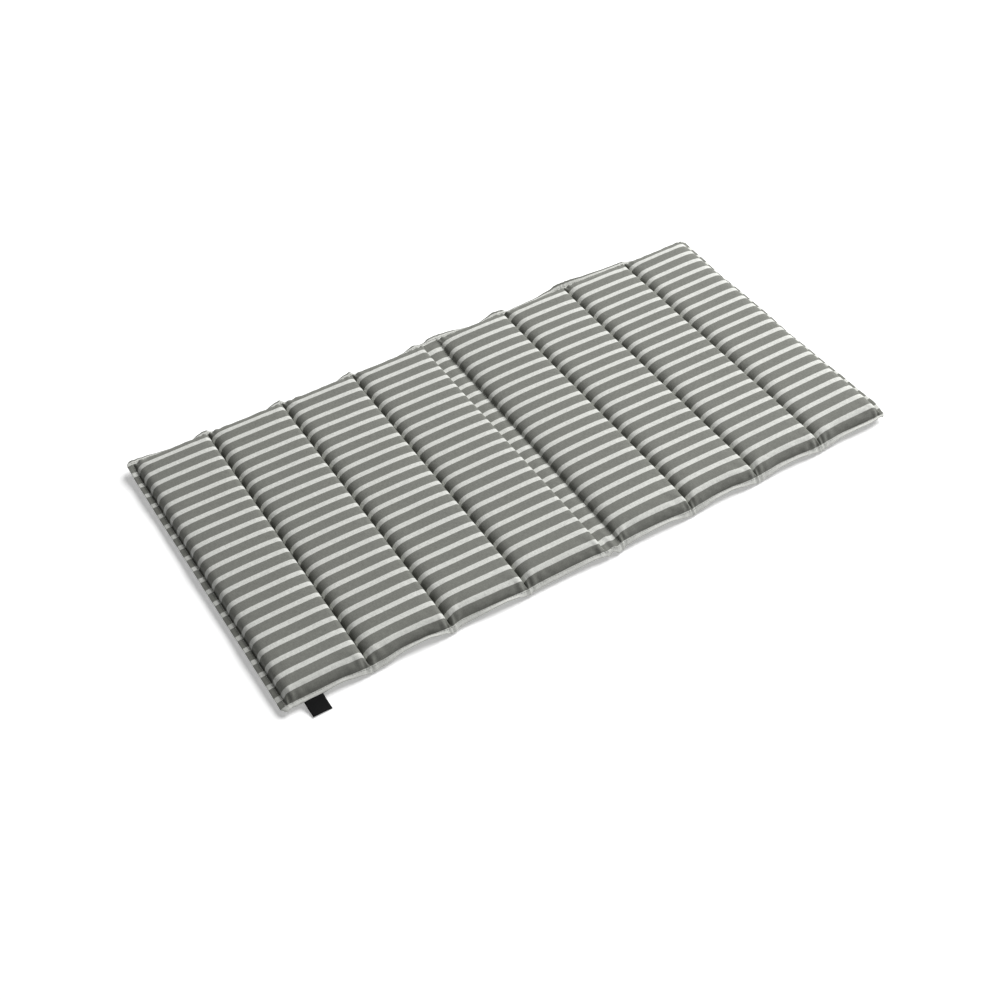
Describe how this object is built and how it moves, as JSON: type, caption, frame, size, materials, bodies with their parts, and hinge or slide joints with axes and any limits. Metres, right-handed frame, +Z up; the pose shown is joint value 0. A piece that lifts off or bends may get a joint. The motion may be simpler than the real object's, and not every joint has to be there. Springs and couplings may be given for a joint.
{
  "type": "folding seat cushion",
  "caption": "Thin channel-stitched seat pad that folds in half along a flat middle strip, with a sewn rim and a small side label.",
  "frame": {"origin": "bottom centre of the cushion's box, the side label included, on the surface it lies on", "axes": "+X along the pad across the channels, +Y along the channels away from the label's edge, +Z up"},
  "size_m": [0.9, 0.467, 0.024],
  "materials": {
    "striped_cloth": "plain woven, off-white stripes on warm grey, matt",
    "label_cloth": "close woven black label tape, soft sheen, bare"
  },
  "bodies": {
    "root": {"cushion": "striped_cloth", "side_label": "label_cloth"}
  },
  "joints": []
}
